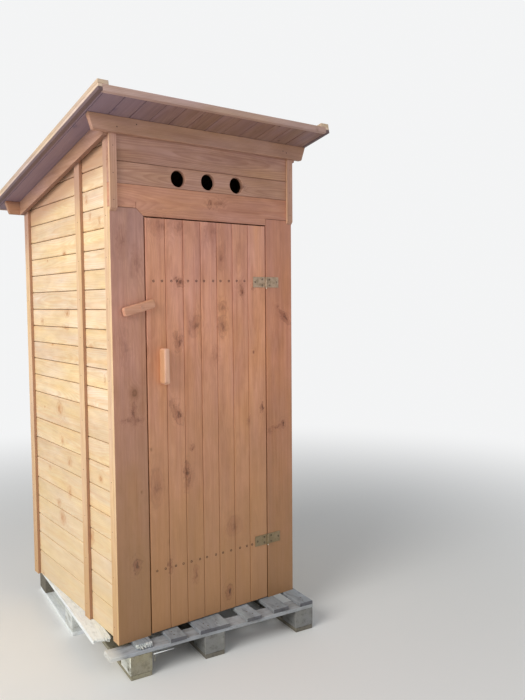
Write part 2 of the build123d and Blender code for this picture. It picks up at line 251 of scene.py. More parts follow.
def add(kind, inputs=None, tree=None, **settings):
    """New node, in the tree of the sockets that feed it where none is given."""
    inputs = inputs or {}
    if tree is None:
        tree = next(value.id_data for value in inputs.values() if isinstance(value, bpy.types.NodeSocket))
    node = set_all(tree.nodes.new(kind), **settings)
    for title, value in inputs.items():
        plug(node.inputs[title], value)
    return node


def calc(operation, *values, clamp=False):
    return add("ShaderNodeMath", dict(enumerate(values)), operation=operation, use_clamp=clamp).outputs[0]


def times(first, second, clamp=False):
    return calc("MULTIPLY", first, second, clamp=clamp)


def scaled(value, factor, offset, clamp=False):
    """A value times a factor, plus an offset."""
    return calc("MULTIPLY_ADD", value, factor, offset, clamp=clamp)


def vector(operation, *values):
    node = add("ShaderNodeVectorMath", dict(enumerate(values)), operation=operation)
    return node.outputs["Value" if operation in ("LENGTH", "DOT_PRODUCT") else "Vector"]


def ramp(value, low, high, start=0.0, end=1.0):
    """Smooth step from low to high."""
    limits = {"Value": value, "From Min": low, "From Max": high, "To Min": start, "To Max": end}
    return add("ShaderNodeMapRange", limits, interpolation_type="SMOOTHSTEP").outputs["Result"]


def mix(share, first, second, blend="MIX", tree=None):
    inputs = {0: share, 6: first, 7: second}
    node = add("ShaderNodeMix", inputs, tree, data_type="RGBA", blend_type=blend, clamp_factor=True)
    return node.outputs[2]


def noise(place, scale, detail, rough=0.5):
    inputs = {"Vector": place, "Scale": scale, "Detail": detail, "Roughness": rough}
    return add("ShaderNodeTexNoise", inputs).outputs["Fac"]


def stretch(place, amounts):
    return vector("MULTIPLY", place, amounts)


def grain_noise(grain, along, side, detail, rough=0.5):
    """Noise with its own scale along the grain and across it."""
    return noise(stretch(grain, (along, side, side)), 1.0, detail, rough)


def split(place):
    return add("ShaderNodeSeparateXYZ", {0: place}).outputs


def join(x, y, z):
    return add("ShaderNodeCombineXYZ", {0: x, 1: y, 2: z}).outputs[0]


def own_place(tree):
    return add("ShaderNodeTexCoord", tree=tree).outputs["Object"]


def new_group(name, takes, gives):
    """Group with its sockets by name and kind; words in the names are joined with underscores."""
    tree = bpy.data.node_groups.new(name, "ShaderNodeTree")
    for way, sockets in (("INPUT", takes), ("OUTPUT", gives)):
        for title, kind in sockets.items():
            tree.interface.new_socket(title.replace("_", " "), in_out=way, socket_type="NodeSocket" + kind)
    return tree, add("NodeGroupInput", tree=tree).outputs, add("NodeGroupOutput", tree=tree).inputs


def place_group(group, **values):
    """Puts a group beside the sockets that feed it; words in the names are joined with underscores."""
    inputs = {key.replace("_", " "): value for key, value in values.items()}
    return add("ShaderNodeGroup", inputs, node_tree=group).outputs


# Shader groups

ring_width = 6 * mm


def sawn_pine_group():
    """Year rings cut by the board's faces, streaks, fibres, stain blotches and scattered knots."""
    tree, takes, gives = new_group("Sawn pine", dict(
        Grain="Vector", Tone="Float", Swirl="Float", Early_Wood="Color", Late_Wood="Color", Knot_Wood="Color",
        Ring_Depth="Float", Knot_Share="Float", Patchiness="Float",
    ), dict(Color="Color", Roughness="Float", Height="Float"))
    grain = takes["Grain"]
    along, side, deep = split(grain)
    # Knots lie scattered, each of its own size
    cells = 6.0
    inputs = {"Vector": join(times(along, 0.75), side, 0.0), "Scale": cells, "Randomness": 0.95}
    scatter = add("ShaderNodeTexVoronoi", inputs, voronoi_dimensions="2D", feature="F1")
    draw = add("ShaderNodeSeparateColor", {0: scatter.outputs["Color"]})
    away = calc("DIVIDE", scatter.outputs["Distance"], cells)
    size = scaled(calc("POWER", draw.outputs[1], 1.6), 0.012, 0.004)
    there = calc("LESS_THAN", draw.outputs[0], takes["Knot Share"])
    ragged = calc("ADD", scaled(noise(grain, 110, 3), 0.010, -0.005), away)
    knot = times(there, ramp(ragged, times(size, 0.55), size, 1.0, 0.0))
    halo = times(there, ramp(ragged, times(size, 0.8), times(size, 2.4), 0.55, 0.0))
    reach = calc("DIVIDE", away, times(size, 2.3))
    bend = calc("EXPONENT", times(calc("POWER", reach, 2.0), -1.0))
    bend = scaled(times(there, bend), 3.0, takes["Swirl"])
    # Year rings round a wandering pith
    lazy = stretch(grain, (0.9, 2.0, 2.0))
    lazy_too = vector("ADD", lazy, (7.3, 1.1, 4.2))
    wander_side = scaled(noise(lazy, 1.0, 1), 0.11, -0.055)
    wander_deep = scaled(noise(lazy_too, 1.3, 1), 0.09, -0.03)
    ring_side = calc("POWER", calc("ADD", side, wander_side), 2.0)
    ring_deep = calc("POWER", calc("ADD", deep, wander_deep), 2.0)
    radius = calc("SQRT", calc("ADD", ring_side, ring_deep))
    rag = scaled(grain_noise(grain, 5.0, 55.0, 3), 0.9, bend)
    year = calc("FRACT", calc("ADD", calc("DIVIDE", radius, ring_width), rag))
    late = times(ramp(year, 0.2, 0.88), ramp(year, 0.88, 1.0, 1.0, 0.0))
    # Streaks and fibres along the board
    streak = grain_noise(grain, 1.6, 70.0, 3, 0.6)
    fibre = grain_noise(grain, 9.0, 620.0, 2, 0.6)
    patch = grain_noise(grain, 3.0, 12.0, 4, 0.65)
    late_wood, knot_wood = takes["Late Wood"], takes["Knot Wood"]
    wood = mix(times(late, takes["Ring Depth"]), takes["Early Wood"], late_wood)
    wood = mix(ramp(streak, 0.44, 0.80, 0.0, 0.6), wood, late_wood)
    blotch = mix(0.35, late_wood, knot_wood)
    wood = mix(times(ramp(patch, 0.45, 0.78), takes["Patchiness"]), wood, blotch)
    zone = grain_noise(grain, 1.7, 7.0, 3, 0.6)
    lift = scaled(takes["Tone"], 0.06, scaled(zone, 0.46, 0.77))
    mottle = grain_noise(grain, 9.0, 34.0, 3, 0.6)
    lift = times(lift, scaled(mottle, 0.34, 0.83))
    lift = times(lift, scaled(fibre, 0.16, 0.92))
    # Some stretches are yellower, others redder
    hue = calc("ADD", grain_noise(grain, 2.4, 11.0, 3), -0.5)
    red = times(lift, scaled(hue, 0.10, 1.0))
    blue = times(calc("POWER", lift, 1.4), scaled(hue, -0.75, 1.0))
    lift = join(red, calc("POWER", lift, 1.2), blue)
    wood = mix(1.0, wood, lift, "MULTIPLY")
    wood = mix(halo, wood, mix(0.4, late_wood, knot_wood))
    heart = mix(ramp(away, 0.0, size, 0.4, 1.0), late_wood, knot_wood)
    plug(gives["Color"], mix(times(knot, 0.85), wood, heart))
    rough = scaled(fibre, 0.16, 0.46)
    plug(gives["Roughness"], scaled(late, -0.06, rough, clamp=True))
    relief = scaled(fibre, 0.5, times(knot, 0.4))
    plug(gives["Height"], scaled(late, 0.6, relief))
    return tree


def knots_group(name, wide_axis, spots):
    """Knots at known places on one flat side.

    Each has its place along the side, height, half width and half height, in millimetres, then how dark it
    is and, where it has one, its lean.
    """
    masks = dict(Heart="Float", Halo="Float", Swirl="Float")
    tree, takes, gives = new_group(name, dict(Place="Vector"), masks)
    place = takes["Place"]
    elsewhere = vector("ADD", place, (3.1, 1.7, 5.3))
    wide = calc("ADD", split(place)[wide_axis], scaled(noise(place, 42, 3, 0.65), 0.044, -0.022))
    tall = calc("ADD", split(place)[Z], scaled(noise(elsewhere, 30, 3, 0.65), 0.060, -0.030))
    smear = ramp(noise(stretch(place, (190.0, 190.0, 30.0)), 1.0, 3, 0.65), 0.3, 0.62, 0.35, 1.15)
    heart, halo, swirl = 0.0, 0.0, 0.0
    for u, h, half_w, half_h, dark, *lean in spots:
        half_w, half_h = half_w * mm, half_h * mm
        dh = scaled(tall, 1 / half_h, -height(h) / half_h)
        du = scaled(wide, 1 / half_w, -(across(u) if wide_axis == X else behind(u)) / half_w)
        if lean:
            du = scaled(dh, lean[0], du)
        gap = vector("LENGTH", join(du, 0.0, dh))
        near = calc("EXPONENT", times(calc("POWER", gap, 2.0), -0.3))
        # The dark heart lies to one side of the rings that run round it
        inner = vector("LENGTH", join(calc("ADD", du, -0.3), 0.0, calc("ADD", dh, 0.15)))
        lines = ramp(calc("SINE", times(inner, 5.5)), 0.2, 1.0, 0.0, 0.6 * dark)
        core = ramp(inner, 0.15, 0.85, dark, 0.0)
        heart = calc("MAXIMUM", heart, calc("MAXIMUM", core, times(lines, near)))
        halo = calc("MAXIMUM", halo, ramp(gap, 0.3, 2.1, 0.25 + 0.55 * dark, 0.0))
        swirl = scaled(near, 2.2, swirl)
    plug(gives["Heart"], times(heart, smear, clamp=True))
    plug(gives["Halo"], times(halo, smear, clamp=True))
    plug(gives["Swirl"], swirl)
    return tree


def splash_group():
    """Wood dulled by splashing rain near the ground."""
    tree, takes, gives = new_group("Splash", dict(
        Place="Vector", Color="Color", Splash_Color="Color", Top="Float", Strength="Float"
    ), dict(Color="Color"))
    edge = scaled(noise(takes["Place"], 5.0, 4, 0.65), 0.6, -0.3)
    level = calc("ADD", split(takes["Place"])[2], edge)
    wet = times(ramp(level, 0.15, takes["Top"], 1.0, 0.0), takes["Strength"])
    plug(gives["Color"], mix(wet, takes["Color"], takes["Splash Color"]))
    return tree


def under_roof_group():
    """How far a place lies below the roof boards, square to their slope."""
    tree, takes, gives = new_group("Under roof", dict(Place="Vector"), dict(Depth="Float"))
    reach = vector("DOT_PRODUCT", takes["Place"], roof_normal)
    plug(gives["Depth"], calc("SUBTRACT", roof_point.dot(roof_normal), reach))
    return tree


def weathering_group():
    """Greying, dirt, drying cracks and saw marks on wood that has stood outside."""
    tree, takes, gives = new_group("Weathering", dict(
        Grain="Vector", Color="Color", Grey="Color", Dirt="Color", Age="Float"
    ), dict(Color="Color", Height="Float"))
    grain = takes["Grain"]
    crack = ramp(grain_noise(grain, 3.5, 260.0, 2), 0.64, 0.72)
    fade = ramp(grain_noise(grain, 4.0, 22.0, 3, 0.6), 0.25, 0.7, 1.0, 0.7)
    worn = mix(times(fade, takes["Age"]), takes["Color"], takes["Grey"])
    grime = grain_noise(grain, 14.0, 34.0, 4, 0.7)
    worn = mix(ramp(grime, 0.46, 0.76, 0.0, 0.7), worn, takes["Dirt"])
    teeth = grain_noise(grain, 330.0, 9.0, 2, 0.6)
    plug(gives["Color"], mix(times(crack, 0.75), worn, takes["Dirt"]))
    plug(gives["Height"], scaled(crack, -1.2, times(teeth, 0.7)))
    return tree


sawn_pine = sawn_pine_group()
splash = splash_group()
under_roof = under_roof_group()
weathering = weathering_group()
front_knots = knots_group("Front knots", X, [
    (94, 1040, 9, 34, 0.7), (112, 1000, 20, 11, 0.35), (62, 1004, 20, 8, 0.3, -0.4),
    (319, 1003, 17, 32, 0.7, 0.3), (297, 1040, 12, 30, 0.4, 0.6), (330, 1338, 15, 27, 0.6, -0.4),
    (314, 1362, 10, 24, 0.35, 0.5), (418, 1417, 24, 36, 0.42, -0.4), (569, 1414, 19, 34, 0.5),
    (572, 1500, 18, 22, 0.35), (802, 994, 8, 20, 0.85), (941, 892, 13, 14, 0.8),
    (893, 882, 34, 10, 0.4, -0.3), (860, 866, 16, 9, 0.35), (950, 1446, 16, 27, 0.95, 1.3),
    (908, 1496, 9, 10, 0.35), (362, 734, 13, 30, 0.8), (372, 690, 16, 34, 0.4, -0.5), (393, 842, 8, 12, 0.5),
    (341, 1612, 15, 15, 1.0), (318, 1630, 9, 9, 0.6), (688, 1572, 8, 18, 0.95), (676, 1600, 12, 26, 0.35),
    (756, 1596, 8, 10, 0.5), (266, 300, 9, 20, 0.9), (96, 341, 15, 24, 0.8), (592, 96, 15, 28, 0.8),
    (404, 229, 14, 30, 0.35), (620, 420, 30, 34, 0.25), (509, 1979, 13, 12, 0.8), (565, 1992, 20, 12, 0.35),
    (723, 931, 7, 16, 0.3), (196, 690, 26, 60, 0.25), (530, 1270, 14, 40, 0.2), (232, 1868, 40, 34, 0.3),
    (330, 1874, 40, 26, 0.3), (520, 1860, 36, 30, 0.25), (560, 1740, 22, 40, 0.22), (52, 1790, 18, 50, 0.25),
    (120, 1700, 20, 60, 0.2), (58, 1330, 16, 60, 0.2), (700, 2083, 8, 8, 0.6),
])
side_knots = knots_group("Side knots", Y, [
    (907, 1431, 20, 16, 0.5), (547, 1475, 24, 16, 0.6), (572, 1402, 28, 8, 0.6), (684, 986, 28, 28, 0.6),
    (661, 822, 16, 14, 0.5), (566, 725, 22, 18, 0.45), (577, 569, 18, 24, 0.45), (736, 481, 22, 16, 0.4),
    (684, 413, 32, 26, 0.6), (278, 1995, 12, 15, 0.6), (243, 1919, 12, 14, 0.6), (140, 1882, 10, 20, 0.5),
    (316, 411, 24, 30, 0.6), (120, 1180, 10, 14, 0.4), (850, 640, 14, 12, 0.4),
])


# Finishes


def new_finish(name):
    """New material, with its shader's inputs and the place on the object."""
    finish = bpy.data.materials.new(name)
    tree = empty_tree(finish)
    shader = add("ShaderNodeBsdfPrincipled", tree=tree)
    add("ShaderNodeOutputMaterial", {"Surface": shader.outputs[0]})
    return finish, shader.inputs, own_place(tree)


def lay_grain(place, run=None):
    """The grain's place and tone, stored on a made board or read off the axis that a timber runs along."""
    if run is None:
        tree = place.id_data
        grain, tone = (add("ShaderNodeAttribute", tree=tree, attribute_name=n) for n in ("grain", "tone"))
        return grain.outputs["Vector"], tone.outputs["Fac"]
    x, y, z = split(place)
    return join(*((x, y, z), (y, x, z), (z, x, y))[run]), None


def splashed(place, color, wet, top, strength):
    """The colour with its change near the ground."""
    dulled = place_group(splash, Place=place, Color=color, Splash_Color=wet, Top=top, Strength=strength)
    return dulled["Color"]


def feed(shader, color, roughness, relief, strength, depth, gloss=None):
    """Gives a shader its colour, roughness, relief and, where one is named, its gloss."""
    normal = add("ShaderNodeBump", {"Strength": strength, "Distance": depth, "Height": relief}).outputs[0]
    values = {"Base Color": color, "Roughness": roughness, "Specular IOR Level": gloss, "Normal": normal}
    for title, value in values.items():
        plug(shader[title], value)


def stained(name, early, late, knot, run=None, low=None, low_top=1.2, low_strength=0.5, ring_depth=0.4,
            knot_share=0.3, patch=0.3, gloss=0.35, placed_knots=None, edges=None, roof_shade=None, left=None,
            worn_knot=None):
    """Pine with a translucent stain, on a made board or on a timber of the model that runs along one axis."""
    finish, shader, place = new_finish(name)
    early, late, knot = paint(early), paint(late), paint(knot)
    grain, tone = lay_grain(place, run)
    own = place_group(placed_knots, Place=place) if placed_knots else None
    wood = place_group(
        sawn_pine, Grain=grain, Tone=tone, Swirl=own["Swirl"] if own else None, Early_Wood=early,
        Late_Wood=late, Knot_Wood=knot, Ring_Depth=ring_depth, Knot_Share=knot_share, Patchiness=patch,
    )
    color = wood["Color"]
    if low:
        color = splashed(place, color, paint(low), low_top, low_strength)
    if roof_shade:
        # Painted shade where the roof shades the wood: between two depths below the roof boards' plane, with
        # a share at each, the colour turns towards a darker, often bluish one; partly also wood that the roof
        # sheltered and that kept more of its stain
        low_depth, high_depth, start, end, shaded_color = roof_shade
        depth = place_group(under_roof, Place=place)["Depth"]
        color = mix(ramp(depth, low_depth, high_depth, start, end), color, paint(shaded_color))
    if left:
        # Painted skylight: towards the cabin's left side the colour turns cool and bluish, from a place
        # across, with a share there, to another
        start_x, end_x, share, sky_tint = left
        color = mix(ramp(split(place)[0], start_x, end_x, share, 0.0), color, paint(sky_tint))
    if own:
        # Near the ground the knots may have greyed with the rest
        heart = splashed(place, knot, paint(worn_knot), low_top, 1.0) if worn_knot else knot
        color = mix(own["Halo"], color, mix(0.5, late, heart, tree=place.id_data))
        color = mix(times(own["Heart"], 0.9), color, heart)
    if edges:
        # Faces that look along one axis get another colour: painted light and shade on faces that the light
        # meets differently, darker sides in shade and lighter sunlit sides; on the battens partly also a
        # darker stain on the sawn edges
        axis, facing_light_color = edges
        facing = split(add("ShaderNodeTexCoord", tree=place.id_data).outputs["Normal"])[axis]
        color = mix(ramp(calc("ABSOLUTE", facing), 0.6, 0.95, 0.0, 0.85), color, paint(facing_light_color))
    feed(shader, color, wood["Roughness"], wood["Height"], 0.35, 0.6 * mm, gloss)
    return finish


def weathered(name, early, late, grey, dirt, age, foot=0.4, hollow=None, sunlit_end=None, knot_share=0.3):
    """Rough sawn pallet wood, if wanted with a knot hole or one end lightened as painted sunlight."""
    finish, shader, place = new_finish(name)
    dirt = paint(dirt)
    grain, tone = lay_grain(place)
    wood = place_group(
        sawn_pine, Grain=grain, Tone=tone, Early_Wood=paint(early), Late_Wood=paint(late),
        Knot_Wood=paint((70, 56, 44)), Ring_Depth=0.55, Knot_Share=knot_share, Patchiness=0.3,
    )
    aged = place_group(weathering, Grain=grain, Color=wood["Color"], Grey=paint(grey), Dirt=dirt, Age=age)
    color = aged["Color"]
    if sunlit_end:
        # Painted sunlight on the board's left end, the rest of it lying in the cabin's shadow.
        color = mix(ramp(split(place)[0], across(-54), across(18), 0.95, 0.0), color, paint(sunlit_end))
    color = splashed(place, color, dirt, 0.24, foot)
    relief = calc("ADD", wood["Height"], aged["Height"])
    if hollow:
        own = place_group(knots_group(name + " hollow", Y, [hollow]), Place=place)
        color = mix(own["Halo"], color, dirt)
        color = mix(own["Heart"], color, paint((52, 44, 34)))
        relief = scaled(own["Heart"], -4.0, relief)
    feed(shader, color, 0.85, relief, 0.7, 1.2 * mm, 0.15)
    return finish


def metal(name, bright, dull, roughness, metallic, spots=0.5, mud=None):
    """Zinc-plated steel, dulled in patches and, if wanted, muddy near the ground."""
    finish, shader, place = new_finish(name)
    tarnish = noise(place, 60.0, 5, 0.65)
    color = mix(ramp(tarnish, 0.35, 0.7, 0.0, spots), paint(bright), paint(dull))
    if mud:
        color = splashed(place, color, paint(mud), 1.4, 0.9)
    feed(shader, color, ramp(tarnish, 0.3, 0.7, roughness, roughness + 0.2), tarnish, 0.15, 0.2 * mm)
    plug(shader["Metallic"], metallic)
    return finish


def felt():
    """Mineral-faced roofing felt."""
    finish, shader, place = new_finish("roofing_felt")
    grit = add("ShaderNodeTexVoronoi", {"Vector": place, "Scale": 620.0}, feature="F1")
    fleck = add("ShaderNodeSeparateColor", {0: grit.outputs["Color"]}).outputs[0]
    color = mix(ramp(fleck, 0.2, 0.9), paint((62, 62, 64)), paint((104, 102, 100)))
    color = mix(ramp(noise(place, 3.0, 5, 0.6), 0.45, 0.7, 0.0, 0.5), color, paint((88, 92, 78)))
    feed(shader, color, 0.95, grit.outputs["Distance"], 0.5, 1 * mm, 0.2)
    return finish


front_knot = (104, 62, 49)
on_front = dict(
    placed_knots=front_knots, worn_knot=(66, 52, 40), ring_depth=0.24, low_top=2.0, low_strength=0.8,
)
# Near its top the door's colour turns darker and bluish as painted shade from the header and roof.
door_finish = stained(
    "stained_door_pine", (229, 163, 131), (194, 122, 92), front_knot, knot_share=0.08, patch=0.5,
    low=(167, 128, 86), roof_shade=(0.38, 0.95, 0.17, 0.0, (140, 124, 137)), **on_front,
)
on_jamb = dict(low=(151, 117, 77), patch=0.45, knot_share=0.05, **on_front)
# Near their tops the jambs turn darker, the left one bluish, as painted shade from the roof.
jamb_finish = stained(
    "stained_jamb_pine", (209, 152, 128), (179, 116, 93), front_knot,
    roof_shade=(0.38, 1.05, 0.28, 0.0, (132, 128, 144)), **on_jamb,
)
right_jamb_finish = stained(
    "stained_right_jamb_pine", (216, 150, 122), (186, 114, 86), front_knot,
    roof_shade=(0.38, 1.05, 0.28, 0.0, (132, 102, 98)), **on_jamb,
)
header_finish = stained(
    "stained_header_pine", (192, 148, 126), (156, 108, 86), (96, 62, 54), knot_share=0.06,
    placed_knots=front_knots, ring_depth=0.45, patch=0.6,
)
low_header_finish = stained(
    "stained_low_header_pine", (204, 148, 122), (172, 110, 86), front_knot, knot_share=0.04,
    placed_knots=front_knots, ring_depth=0.3, patch=0.4,
)
# The side and rear boards' stain is drawn lighter than the front's as painted sunlight, and turns darker in a
# band under the roof as painted shade.
sunlit_side_finish = stained(
    "side_pine_painted_sunlit", (241, 216, 180), (231, 184, 130), (180, 108, 60), knot_share=0.16,
    placed_knots=side_knots, low=(226, 204, 164), low_top=1.3, patch=0.25,
    roof_shade=(0.11, 0.22, 0.75, 0.0, (184, 138, 112)),
)
# Towards the left the roof boards' underside turns cool and bluish as painted skylight.
soffit_finish = stained(
    "stained_roof_pine", (158, 125, 113), (122, 88, 77), (74, 50, 46),
    left=(across(-100), across(400), 0.5, (140, 128, 155)),
)
# The left jamb's left face, drawn as light as the side wall: painted sunlight on the same board.
jamb_sunlit_side_finish = stained(
    "jamb_side_painted_sunlit", (240, 208, 164), (222, 176, 128), (150, 96, 60), knot_share=0.0, low=(204, 164, 118),
    low_strength=0.6,
)
# Dark finish of the wall boards' tongues: painted shade in the joints, partly dirt.
joint_shade_finish = stained("dark_joint_painted_shade", (120, 82, 58), (96, 64, 44), (70, 44, 30), knot_share=0.0)
raw_colors = ((222, 190, 146), (198, 154, 104), (120, 78, 50))
inside_finish = stained("unstained_pine", *raw_colors)

# The screws are drawn dark and their recesses near black: partly the screws' own colour, partly painted shade
# of the countersinks and recesses.
screw_shade_finish = metal("dark_screw_painted_shade", (52, 34, 28), (38, 24, 20), 0.6, 0.1, 0.7)
recess_shade_finish = metal("screw_recess_painted_shade", (26, 18, 16), (20, 14, 12), 0.8, 0.0)
nail_finish = metal("rusty_nail", (104, 82, 70), (78, 52, 40), 0.65, 0.3, 0.9)
felt_finish = felt()


# Timbers and metalwork of the model that keep their shape


def dress(finish, arris, *names):
    """Gives nodes their finish and, on timbers, planed arrises of a width in millimetres."""
    for name in names:
        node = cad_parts[name]
        for slot in node.material_slots:
            slot.material = finish
        if arris:
            set_all(node.modifiers.new("joined faces", "WELD"), merge_threshold=0.01 * mm)
            set_all(
                node.modifiers.new("planed arris", "BEVEL"), width=arris * mm, segments=2, profile=0.5,
                limit_method="ANGLE", angle_limit=math.radians(35),
            )


batten_colors = ((240, 206, 166), (216, 168, 122), (150, 96, 60))
# The side battens' front- and back-facing sides are darker, painted shade that is partly a darker stain on
# sawn edges; they also turn darker in a band under the roof as painted shade.
dress(stained(
    "stained_batten_pine", *batten_colors, run=Z, knot_share=0.2, low=(194, 150, 98), low_strength=0.7,
    edges=(Y, (166, 124, 100)), roof_shade=(0.11, 0.42, 0.8, 0.0, (176, 134, 122)),
), 2, "left_battens", "right_battens")
dress(stained(
    "stained_rear_batten_pine", *batten_colors, run=Z, knot_share=0.2, low=(204, 164, 118), low_strength=0.6,
), 2, "rear_battens")
# The trims' side faces are drawn lighter as painted sunlight.
dress(stained(
    "stained_trim_pine", (202, 158, 138), (174, 126, 104), (110, 72, 58), run=Z, knot_share=0.1,
    edges=(X, (222, 182, 148)),
), 1.5, "front_trims")
dress(stained(
    "stained_purlin_pine", (188, 146, 122), (154, 108, 86), (90, 60, 50), run=X,
), 3, "front_purlin", "rear_purlin")
# The rafters' bottom faces are drawn darker as painted shade.
dress(stained(
    "stained_rafter_pine", (192, 151, 131), (158, 113, 90), (96, 64, 54), run=Y, edges=(Z, (136, 100, 86)),
), 2, "side_rafters")
dress(stained(
    "stained_edge_strip_pine", (198, 166, 152), (164, 126, 108), (98, 68, 58), run=X,
), 1.5, "eave_strips")
# The verge strips' lowest band, next to the roof boards, is darker as painted shade.
dress(stained(
    "stained_verge_pine", (233, 210, 193), (209, 179, 156), (130, 96, 78), run=Y,
    roof_shade=(-0.018, -0.013, 0.0, 0.95, (104, 82, 86)),
), 2, "verge_strips")
dress(stained(
    "stained_verge_batten", (214, 190, 168), (188, 158, 134), (120, 90, 76), run=Y,
), 2, "verge_battens")
dress(stained("unstained_post_pine", *raw_colors, run=Z), 1, "wall_studs", "door_posts", "door_stop")
dress(stained(
    "unstained_rail_pine", *raw_colors, run=X,
), 1, "floor_sills", "top_rails", "door_head_rail", "door_ledges")
dress(stained("unstained_joist_pine", *raw_colors, run=Y), 1, "floor_joists")
# The handle's front is drawn lighter and its side faces darker: painted light and shade on its faces.
dress(stained(
    "stained_handle_pine", (234, 186, 156), (214, 160, 126), (120, 80, 56), run=Z, knot_share=0.0, gloss=0.45,
    edges=(X, (204, 156, 116)),
), 1, "door_handle")
dress(stained(
    "stained_button_pine", (216, 162, 134), (190, 130, 102), (120, 80, 62), run=X, knot_share=0.0, gloss=0.45,
), 1, "turn_button")
dress(metal(
    "zinc_plated_hinge", (194, 168, 144), (150, 128, 102), 0.42, 0.35, 0.8, mud=(130, 114, 80),
), 0, "hinge_door_leaves", "hinge_frame_leaves")
dress(metal("bright_hinge_pin", (232, 222, 204), (190, 174, 148), 0.3, 0.6, 0.4), 0, "hinge_pins")
dress(metal("painted_over_screw", (204, 154, 130), (182, 130, 108), 0.6, 0.05, 0.5), 0, "button_screw")
dress(felt_finish, 0, "roof_felt")


# Side and rear walls of level boards, with the top ones sawn to the roof

joint_heights = [
    0, 138, 245, 350, 451, 558, 673, 785, 893, 1041, 1136, 1226, 1317, 1405, 1494, 1585, 1675, 1763, 1853,
    1945, 2036, 2123, 2215, 2330,
]
wall_gap = 2.8 * mm
wall_edge = 4.2 * mm
tongue_t = 4 * mm


def wall_boards(node, face, inside):
    low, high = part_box(node)
    work = new_work()
    run = Y if face == X else X
    for foot, top in zip(joint_heights, joint_heights[1:]):
        if height(foot) > high.z - 4 * mm:
            break
        timber(work, (low.x, low.y, height(foot)), (high.x, high.y, height(top) - wall_gap))
        ease(work, wall_edge, run)
        saw(work, roof_point, roof_normal)
        give_grain(work, run, face)
    # The boards' tongues close the joints halfway through the wall; their dark finish is painted shade in the
    # joints, partly dirt in the crevices
    middle = (low[face] + high[face]) / 2
    tongue_low, tongue_high = low.copy(), high.copy()
    tongue_low[face], tongue_high[face] = middle - tongue_t / 2, middle + tongue_t / 2
    tongue_low[run] += 1 * mm
    tongue_high[run] -= 1 * mm
    timber(work, tongue_low, tongue_high)
    saw(work, roof_point - roof_normal * mm, roof_normal)
    give_grain(work, run, face, finish=2)
    paint_facing(work, inside, 1)
    name = node.replace("cladding", "wall_boards")
    finish_piece(name, work, [sunlit_side_finish, inside_finish, joint_shade_finish], [node])


wall_boards("left_cladding", X, Vector((1, 0, 0)))
wall_boards("right_cladding", X, Vector((-1, 0, 0)))
wall_boards("rear_cladding", Y, Vector((0, -1, 0)))


# Jambs, the left one cut to the header's slanted notch

inwards = Vector((0, 1, 0))
notch_foot, notch_top = height(1904), height(1936)
notch_normal = Vector((notch_top - notch_foot, 0, 36 * mm))
jamb_edge = 2.2 * mm
work = new_work()
timber(work, jamb_low, jamb_high)
saw(work, (jamb_high.x, front, notch_foot - 2 * mm), notch_normal)
ease(work, jamb_edge, Z)
give_grain(work, Z, Y, 0.4)
# The left jamb's left face takes the lighter finish as painted sunlight.
paint_facing(work, Vector((-1, 0, 0)), 3)
timber(work, right_jamb_low, right_jamb_high)
ease(work, jamb_edge, Z)
give_grain(work, Z, Y, 0.4, 2)
paint_facing(work, inwards, 1)
jamb_finishes = [jamb_finish, inside_finish, right_jamb_finish, jamb_sunlit_side_finish]
finish_piece("front_jamb_boards", work, jamb_finishes, ["left_jamb", "right_jamb"])


# Header boards with the vents, carved with cutters


def blank(low, high):
    work = bmesh.new()
    timber(work, low, high)
    return work


def carved(work, cutters):
    """Mesh of the blank with the cutters' shapes taken out of it."""
    items = [cast("blank", shape) for shape in [work] + cutters]
    for tool in items[1:]:
        step = items[0].modifiers.new("carve", "BOOLEAN")
        set_all(step, operation="DIFFERENCE", solver="EXACT", object=tool)
    result = bpy.data.meshes.new_from_object(items[0].evaluated_get(bpy.context.evaluated_depsgraph_get()))
    for item in items:
        data = item.data
        bpy.data.objects.remove(item)
        bpy.data.meshes.remove(data)
    return result


def drill(t):
    """Cutter for the vent at one place across."""
    bit = bmesh.new()
    bmesh.ops.create_cone(bit, cap_ends=True, segments=40, radius1=vent_r, radius2=vent_r, depth=0.1)
    turn_to(bit, bit.verts, faces_front, (across(t), front, height(2083)))
    return bit


def header_board(work, foot, top, cutters, finish, tone):
    """One board of the header, carved and then eased along its front edges, round the vents too."""
    piece = carved(blank((left, front, foot), (right, frame_y, top)), cutters)
    work.from_mesh(piece)
    bpy.data.meshes.remove(piece)
    edges = []
    for edge in newest(work)[1]:
        in_front = all(abs(v.co.y - front) < 0.01 * mm for v in edge.verts)
        if in_front and len(edge.link_faces) == 2 and edge.calc_face_angle(0.0) > 0.5:
            edges.append(edge)
    round_over(work, edges, 2.8 * mm)
    give_grain(work, X, Y, finish=finish, tone=tone)


vent_r = 37.5 * mm
vents = [drill(t) for t in (339.5, 500, 660.5)]
spare = 10 * mm
left_notch = new_work()
timber(left_notch, (left - spare, front - spare, height(1880)), (jamb_high.x, frame_y + spare, notch_top))
saw(left_notch, (jamb_high.x, front, notch_foot), notch_normal)
face_out(left_notch)
right_notch = blank((across(834), front - spare, height(1880)), (right + spare, frame_y + spare, notch_top))
# The saw ran past the notch's corner by a thumb's width
overcut = blank((across(124), behind(-2), notch_top), (across(126), behind(7), height(1963)))
board_gap = 1.2 * mm
work = new_work()
header_board(work, notch_foot, height(2037) - board_gap, [left_notch, right_notch, overcut], 2, 0.0)
header_board(work, height(2037), height(2132) - board_gap, vents, 0, 0.3)
header_board(work, height(2132), header_top, [], 0, -0.4)
paint_facing(work, inwards, 1)
header_finishes = [header_finish, inside_finish, low_header_finish]
finish_piece("header_boards", work, header_finishes, ["header_boarding"])


# Door planks, with tongues behind their joints

